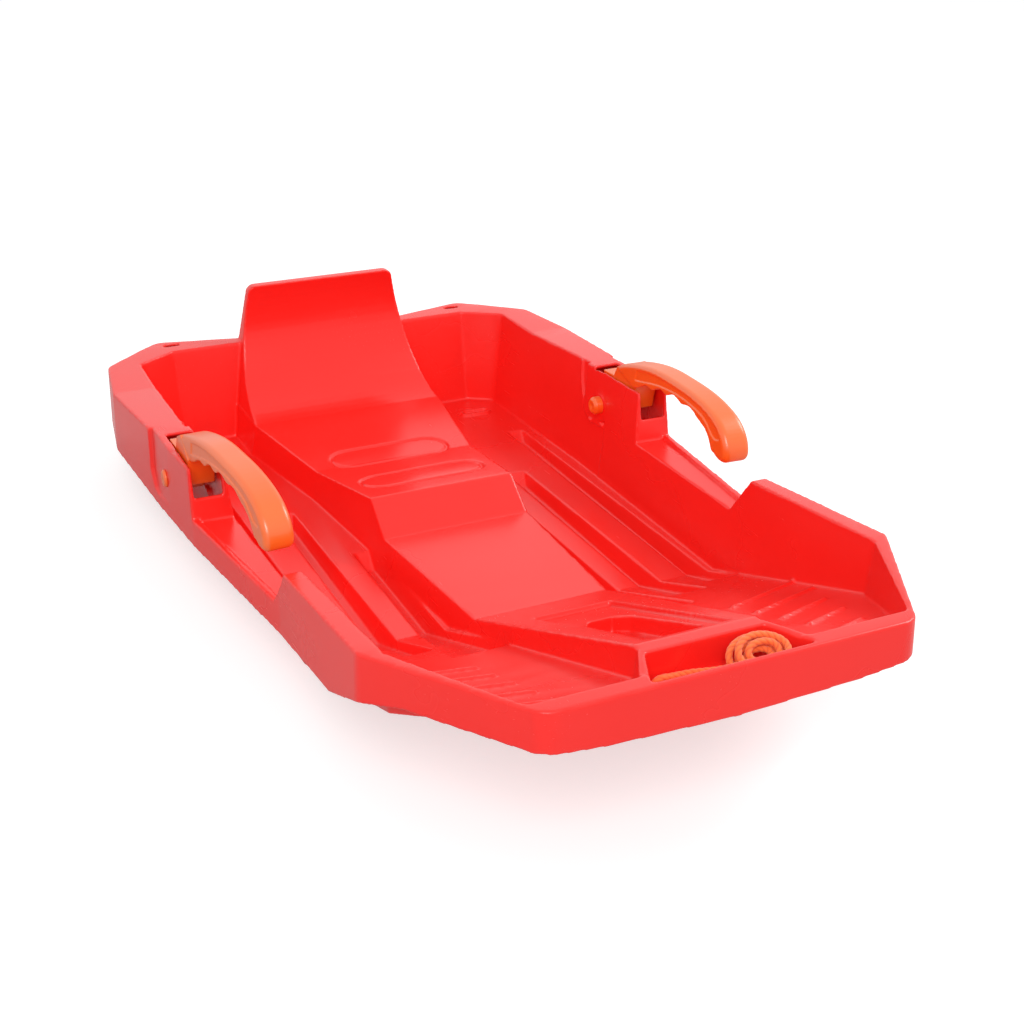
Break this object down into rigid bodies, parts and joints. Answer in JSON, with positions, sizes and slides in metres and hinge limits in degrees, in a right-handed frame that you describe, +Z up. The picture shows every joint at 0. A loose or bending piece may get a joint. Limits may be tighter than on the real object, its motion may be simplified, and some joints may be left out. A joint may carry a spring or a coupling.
{
  "type": "childrens sled",
  "caption": "Moulded snow sled for a child, with a backrest, foot ramps, hinged hand brake levers at the sides and a tow rope stowed in a tray in the bow.",
  "frame": {"origin": "middle of the sled at the snow line under its runners", "axes": "+X points the way the sled slides, +Y is the rider's left, +Z is up"},
  "size_m": [0.8209, 0.464, 0.16],
  "materials": {
    "hull_plastic": "glossy moulded polyethylene",
    "brake_plastic": "satin moulded plastic",
    "rope": "laid synthetic cord"
  },
  "bodies": {
    "hull": {"hull": "hull_plastic", "pivot_pin_left": "brake_plastic", "pivot_pin_right": "brake_plastic", "pin_cap_left": "brake_plastic", "pin_cap_right": "brake_plastic", "tow_rope": "rope", "tow_rope_coil": "rope", "tow_rope_tail": "rope", "rope_knot_near": "rope", "rope_knot_far": "rope"},
    "brake_left": {"brake_lever_left": "brake_plastic"},
    "brake_right": {"brake_lever_right": "brake_plastic"}
  },
  "joints": [
    {"name": "brake_left_hinge", "type": "hinge", "parent": "hull", "child": "brake_left", "pos_m": [-0.118, 0.2017, 0.082], "axis": [0, -1, 0], "range_deg": [0, 45]},
    {"name": "brake_right_hinge", "type": "hinge", "parent": "hull", "child": "brake_right", "pos_m": [-0.118, -0.2017, 0.082], "axis": [0, -1, 0], "range_deg": [0, 45]}
  ]
}
